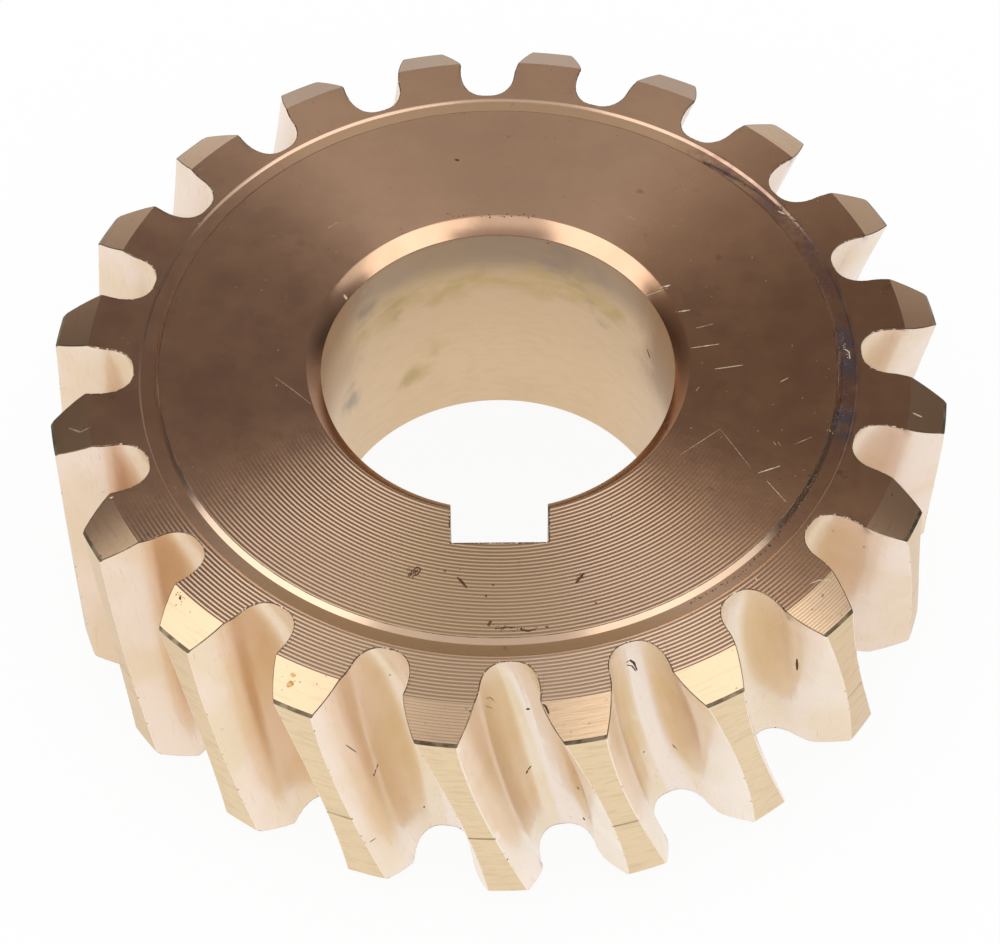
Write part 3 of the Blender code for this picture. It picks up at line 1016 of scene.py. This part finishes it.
# Crumbs on the edges: share of dark ones, smallest and largest size in millimetres
GAP_CRUMBS = (0.75, 0.07, 0.22)
KEYWAY_CRUMBS = (0.97, 0.10, 0.26)
CORNER_CRUMBS = (0.6, 0.06, 0.17)
SPECK_CORNERS = 10

# A stroke's step along its line in pixels, and its section: place across it and height
STROKE_STEP = 2.5
STROKE_SECTION = [(-1.0, -SUNK), (-0.75, PROUD), (0.0, PROUD), (0.75, PROUD), (1.0, -SUNK)]


class Skin:
    """The wheel's surface, found by a line of sight or as the nearest point."""

    def __init__(self, item, camera):
        mesh = item.data
        corners = [vertex.co.copy() for vertex in mesh.vertices]
        self.tree = BVHTree.FromPolygons(corners, [tuple(face.vertices) for face in mesh.polygons])
        self.camera = camera

    def seen(self, pixel):
        """Return the point and normal of the surface under one pixel of the photograph."""
        data = self.camera.data
        step = data.sensor_width / data.lens / PHOTO_WIDTH
        across = (pixel[0] - 0.5 * PHOTO_WIDTH) * step
        down = (pixel[1] - 0.5 * PHOTO_HEIGHT) * step
        way = self.camera.matrix_world.to_3x3() @ Vector((across, -down, -1.0))
        return self.tree.ray_cast(self.camera.matrix_world.translation, way.normalized())[:2]

    def nearest(self, point):
        """Return the point and normal of the surface nearest to a point in metres."""
        return self.tree.find_nearest(point)[:2]

    def lifted(self, point, height):
        """Return the nearest surface point, moved out by a height in millimetres."""
        place, normal = self.nearest(point)
        lifted = place + normal * height * MM
        reach = math.hypot(lifted.x, lifted.y)
        if reach > OUTERMOST:
            lifted.x *= OUTERMOST / reach
            lifted.y *= OUTERMOST / reach
        return tuple(lifted)


class Patch:
    """A mesh of many thin marks of one kind that lie on the skin."""

    def __init__(self, skin, random):
        self.skin = skin
        self.random = random
        self.points = []
        self.faces = []

    def add_stroke(self, pixels, width):
        """Draw a thin ragged ridge along a line of pixels."""
        line = []
        for start, end in zip(pixels[:-1], pixels[1:]):
            count = max(2, int(math.dist(start, end) / STROKE_STEP))
            line += [self.skin.seen(between(start, end, index / count)) for index in range(count)]
        line.append(self.skin.seen(pixels[-1]))
        line = [item for item in line if item[0] is not None]
        if len(line) < 2:
            return
        base = len(self.points)
        last = len(line) - 1
        for index, (place, normal) in enumerate(line):
            ahead = line[min(index + 1, last)][0] - line[max(index - 1, 0)][0]
            side = normal.cross(ahead).normalized()
            taper = 0.35 + 0.65 * math.sin(math.pi * (index + 0.5) / (last + 1))
            half = 0.5 * width * MM * taper * self.random.uniform(0.8, 1.2)
            for across, height in STROKE_SECTION:
                self.points.append(self.skin.lifted(place + side * half * across, height))
        wide = len(STROKE_SECTION)
        for index in range(last):
            for step in range(wide - 1):
                corner = base + wide * index + step
                self.faces.append((corner, corner + wide, corner + wide + 1, corner + 1))

    def add_speck(self, place, normal, length, width):
        """Lay a small uneven crumb on the skin."""
        turn = Matrix.Rotation(self.random.uniform(0.0, 2.0 * math.pi), 3, normal)
        first = turn @ normal.orthogonal().normalized()
        second = normal.cross(first)
        base = len(self.points)
        for ring, height in ((1.0, -SUNK), (0.72, 0.8 * PROUD)):
            for index in range(SPECK_CORNERS):
                angle = 2.0 * math.pi * index / SPECK_CORNERS
                reach = ring * self.random.uniform(0.78, 1.12)
                offset = first * (0.5 * length * math.cos(angle)) + second * (0.5 * width * math.sin(angle))
                self.points.append(self.skin.lifted(place + offset * reach * MM, height))
        self.points.append(self.skin.lifted(place, PROUD))
        inner = base + SPECK_CORNERS
        for index in range(SPECK_CORNERS):
            following = (index + 1) % SPECK_CORNERS
            self.faces.append((base + index, base + following, inner + following, inner + index))
            self.faces.append((inner + index, inner + following, inner + SPECK_CORNERS))

    def add_smudge(self, pixels, count, spread, size):
        """Scatter crumbs along a line of pixels."""
        lengths = [math.dist(start, end) for start, end in zip(pixels[:-1], pixels[1:])]
        for _ in range(count):
            along = self.random.uniform(0.0, sum(lengths))
            leg = 0
            while leg < len(lengths) - 1 and along > lengths[leg]:
                along -= lengths[leg]
                leg += 1
            place, _ = self.skin.seen(between(pixels[leg], pixels[leg + 1], min(1.0, along / lengths[leg])))
            if place is None:
                continue
            shift = Vector(self.random.normal(0.0, spread * MM, 3))
            place, normal = self.skin.nearest(place + shift)
            wide = size * self.random.uniform(0.6, 1.3)
            self.add_speck(place, normal, wide * self.random.uniform(1.0, 1.7), wide)

    def build(self, name, material):
        """Make the marks one object that rides with the wheel."""
        mesh = bpy.data.meshes.new(name)
        mesh.from_pydata(self.points, [], self.faces)
        mesh.materials.append(material)
        mesh.update()
        item = bpy.data.objects.new(name, mesh)
        bpy.context.scene.collection.objects.link(item)
        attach(item, "root")


def between(start, end, share):
    """Return the point a share of the way from start to end."""
    return [first + (last - first) * share for first, last in zip(start, end)]


def add_crumbs(patches, skin, random, points, dark_share, smallest, largest):
    """Put a dark or a bright crumb on the surface nearest to each point, in millimetres."""
    for point in points:
        place, normal = skin.nearest(Vector(point) * MM)
        kind = "dirt" if random.uniform() < dark_share else "scratch_and_glint"
        size = random.uniform(smallest, largest)
        patches[kind].add_speck(place, normal, size * random.uniform(1.0, 1.8), size)


def gap_edge_points(random, height):
    """Return random points on the edges of the tooth gaps at one face."""
    points, share = outline(height)
    points = points[share > 0.9]
    following = np.roll(points, -1, axis=0)
    close = np.linalg.norm(following - points, axis=1) < 1.0
    points = points[close]
    following = following[close]
    chosen = random.integers(0, len(points), GAP_BURRS)
    along = random.uniform(0.0, 1.0, GAP_BURRS)[:, None]
    places = points[chosen] * (1.0 - along) + following[chosen] * along
    return np.column_stack([places, np.full(GAP_BURRS, height)])


def keyway_edge_points(random, height):
    """Return random points on the edges of the keyway at one face."""
    half = 0.5 * KEYWAY_WIDTH
    mouth = -BORE_RADIUS - 0.6 * BORE_CHAMFER
    corners = [(-half, mouth), (-half, -KEYWAY_FLOOR_RADIUS), (half, -KEYWAY_FLOOR_RADIUS), (half, mouth)]
    places = []
    for _ in range(KEYWAY_BURRS):
        side = random.integers(0, 3)
        places.append((*between(corners[side], corners[side + 1], random.uniform()), height))
    return places


def tooth_corner_points(random):
    """Return random points on the corners between the tooth tips and the flanks."""
    places = []
    for height in random.uniform(1.0 - RIM_HALF, RIM_HALF - 2.0, CORNER_HEIGHTS):
        points, share = outline(height)
        corners = points[share == 0.5]
        kept = corners[random.uniform(size=len(corners)) < CORNER_SHARE]
        places += [(x, y, height) for x, y in kept]
    return places


def add_dust(patches, skin, random):
    """Scatter tiny pale and dark dust over both faces."""
    for height in (HUB_HALF, -HUB_HALF):
        for _ in range(DUST_COUNT):
            angle = random.uniform(-math.pi, math.pi)
            radius = random.uniform(BORE_RADIUS + 2.0, TIP_RADIUS - BEVEL_WIDTH - 0.5)
            point = (radius * math.cos(angle), radius * math.sin(angle), height)
            place, normal = skin.nearest(Vector(point) * MM)
            kind = "faint" if random.uniform() < DUST_PALE_SHARE else "dirt"
            size = random.uniform(*DUST_SIZE)
            if abs(normal.z) > 0.9:
                patches[kind].add_speck(place, normal, size * 1.4, size)


def add_marks(wheel, camera):
    """Lay the marks on the wheel."""
    random = np.random.default_rng(MARK_SEED)
    skin = Skin(wheel, camera)
    patches = {kind: Patch(skin, random) for kind in MARK_LOOKS}
    for kind, strokes in STROKES:
        for width, *pixels in strokes:
            patches[kind].add_stroke(pixels, width)
    for kind, specks in SPECKS:
        for length, width, pixel in specks:
            place, normal = skin.seen(pixel)
            if place is not None:
                patches[kind].add_speck(place, normal, length, width)
    for kind, count, spread, size, *pixels in SMUDGES:
        patches[kind].add_smudge(pixels, count, spread, size)
    for side in (1.0, -1.0):
        add_crumbs(patches, skin, random, gap_edge_points(random, side * RIM_HALF), *GAP_CRUMBS)
        add_crumbs(patches, skin, random, keyway_edge_points(random, side * HUB_HALF), *KEYWAY_CRUMBS)
    add_crumbs(patches, skin, random, tooth_corner_points(random), *CORNER_CRUMBS)
    add_dust(patches, skin, random)
    for kind, patch in patches.items():
        name = "marks_" + kind
        patch.build(name, mark_finish(name, *MARK_LOOKS[kind]))


# Camera and studio, in metres and degrees

CAMERA_DISTANCE = 0.36299 * 0.8465
CAMERA_ELEVATION = 50.704
CAMERA_AIM = Vector((0.0, 0.0, 0.0125))
CAMERA_ROLL = 0.499
CAMERA_TILT = -1.751
CAMERA_PAN = -0.033
CAMERA_LENS = 130.73
FLOOR_GAP = 0.00002
FLOOR_WHITE = 0.93
TENT_RADIUS = 0.9
TENT_WARMTH = (1.0, 0.84, 0.80)
WHITE = (1.0, 1.0, 1.0)
SOFTBOX_DISTANCE = 0.7
SOFTBOX_POWER = 0.35


def make_camera():
    """Put the camera where the photograph was taken from."""
    elevation = math.radians(CAMERA_ELEVATION)
    place = Vector((0.0, -CAMERA_DISTANCE * math.cos(elevation), CAMERA_DISTANCE * math.sin(elevation)))
    forward = -place.normalized()
    right = Vector((1.0, 0.0, 0.0))
    up = right.cross(forward)
    turn = Matrix.Rotation(math.radians(CAMERA_ROLL), 3, forward)
    turn = turn @ Matrix.Rotation(math.radians(CAMERA_TILT), 3, right)
    turn = turn @ Matrix.Rotation(math.radians(CAMERA_PAN), 3, up)
    axes = Matrix((turn @ right, turn @ up, -(turn @ forward))).transposed().to_4x4()
    data = bpy.data.cameras.new("camera")
    data.sensor_width = 36.0
    data.lens = CAMERA_LENS
    data.clip_start = 0.01
    data.clip_end = 20.0
    camera = bpy.data.objects.new("camera", data)
    bpy.context.scene.collection.objects.link(camera)
    camera.matrix_world = Matrix.Translation(place + CAMERA_AIM) @ axes
    bpy.context.scene.camera = camera
    return camera


def make_floor():
    """Lay the white floor that the wheel rests on."""
    bpy.ops.mesh.primitive_circle_add(vertices=96, radius=3.0, fill_type="NGON")
    floor = bpy.context.object
    floor.name = "floor"
    floor.location = (0.0, 0.0, cad_low.z - FLOOR_GAP)
    graph = Graph("white_floor")
    graph.colour = (0.9, 0.9, 0.9)
    graph.finish(1.0, metallic=0.0, specular=0.0)
    rays = graph.node("ShaderNodeLightPath").outputs
    seen = 0.0
    for key in ("Is Camera Ray", "Is Glossy Ray", "Is Transmission Ray"):
        seen = graph.math("MAXIMUM", Field(graph, rays[key]), seen)
    glow = graph.add("ShaderNodeEmission", {"Strength": 1.0})
    lit = Field(graph, graph.shader.outputs[0])
    graph.put(graph.surface, graph.add("ShaderNodeMixShader", {0: seen * FLOOR_WHITE, 1: lit, 2: glow}))
    floor.data.materials.append(graph.material)


def make_world():
    """Surround the wheel with plain white."""
    world = bpy.data.worlds.new("studio")
    world.use_nodes = True
    background = world.node_tree.nodes["Background"]
    background.inputs["Color"].default_value = (*WHITE, 1.0)
    background.inputs["Strength"].default_value = 1.0
    bpy.context.scene.world = world


def tent_material():
    """White cloth with dark and grey panels that the metal mirrors."""
    graph = Graph("studio_tent")
    x, y, z = graph.parts(graph.vector("NORMALIZE", graph.position))
    elevation = graph.math("ARCSINE", z) * DEGREES
    from_back = graph.math("ARCTAN2", x, y) * DEGREES
    from_front = graph.math("ARCTAN2", x, y * -1.0) * DEGREES
    low_back = from_back.ramp(-52.0, -24.0, 0.14, 0.55) * from_back.ramp(31.0, 62.0, 1.0, 0.2)
    low_back = low_back * abs(from_back).ramp(48.0, 62.0, 1.0, 0.35)
    raised = elevation.ramp(12.0, 30.0)
    back = low_back * (1.0 - raised) + raised * 0.21

    # Each panel: its bearing from left to right, its elevation, its soft edge and its light
    panels = [
        (from_back, -60.0, 60.0, 50.0, 80.0, 8.0, 1.05),
        (from_back, -95.0, -24.0, 50.0, 78.0, 3.0, 1.78),
        (from_back, 19.0, 108.0, 61.0, 80.0, 3.0, 1.9),
        (from_back, 24.0, 74.0, 46.0, 59.0, 3.0, 0.3),
        (from_back, -144.0, -83.0, 15.0, 66.0, 3.0, 1.95),
        (from_back, 97.0, 165.0, 22.0, 65.0, 3.0, 1.95),
        (from_back, -88.0, 102.0, -20.0, 34.0, 3.0, back),
        (from_back, -75.0, 79.0, 30.0, 57.5, 3.0, back),
        (from_front, -40.0, 40.0, 2.0, 24.0, 3.0, 0.15),
        (from_front, -20.0, 24.0, 24.0, 35.0, 3.0, 0.85),
        (from_front, -33.0, 28.0, 35.0, 50.0, 3.0, 0.38),
        (from_front, -36.0, 4.0, 64.0, 85.0, 5.0, 0.66),
        (from_front, 4.0, 42.0, 64.0, 85.0, 5.0, 0.84),
    ]
    light = 1.0
    for bearing, left, right, low, high, soft, value in panels:
        share = bearing.band(left, right, soft) * elevation.band(low, high, soft)
        light = (1.0 - share) * light + share * value
    tint = graph.mix(light.ramp(0.15, 0.9), TENT_WARMTH, WHITE)
    graph.put(graph.surface, graph.add("ShaderNodeEmission", {"Color": tint, "Strength": light}))
    graph.tree.nodes.remove(graph.shader)
    graph.material.cycles.emission_sampling = "NONE"
    return graph.material


def make_tent():
    """Hang a round tent that only reflections see."""
    bpy.ops.mesh.primitive_uv_sphere_add(segments=96, ring_count=48, radius=TENT_RADIUS)
    tent = bpy.context.object
    tent.name = "studio_tent"
    tent.data.shade_smooth()
    tent.data.materials.append(tent_material())
    tent.visible_camera = False
    tent.visible_shadow = False
    tent.visible_diffuse = False


def add_softbox(name, azimuth, elevation, size):
    """Hang a soft lamp that looks at the wheel, with azimuth 0 towards +Y and 90 towards +X."""
    data = bpy.data.lights.new(name, "AREA")
    data.shape = "RECTANGLE"
    data.size, data.size_y = size
    data.energy = SOFTBOX_POWER
    lamp = bpy.data.objects.new(name, data)
    bpy.context.scene.collection.objects.link(lamp)
    turn = math.radians(azimuth)
    rise = math.radians(elevation)
    way = Vector((math.sin(turn) * math.cos(rise), math.cos(turn) * math.cos(rise), math.sin(rise)))
    lamp.location = way * SOFTBOX_DISTANCE
    lamp.rotation_mode = "QUATERNION"
    lamp.rotation_quaternion = (-lamp.location).to_track_quat("-Z", "Y")
    lamp.visible_glossy = False


bpy.context.scene.view_settings.view_transform = "Standard"
wheel = build_wheel()
add_marks(wheel, make_camera())
make_world()
make_floor()
make_tent()
add_softbox("left_softbox", -116.0, 41.0, (0.56, 0.62))
add_softbox("right_softbox", 136.0, 44.5, (0.6, 0.52))
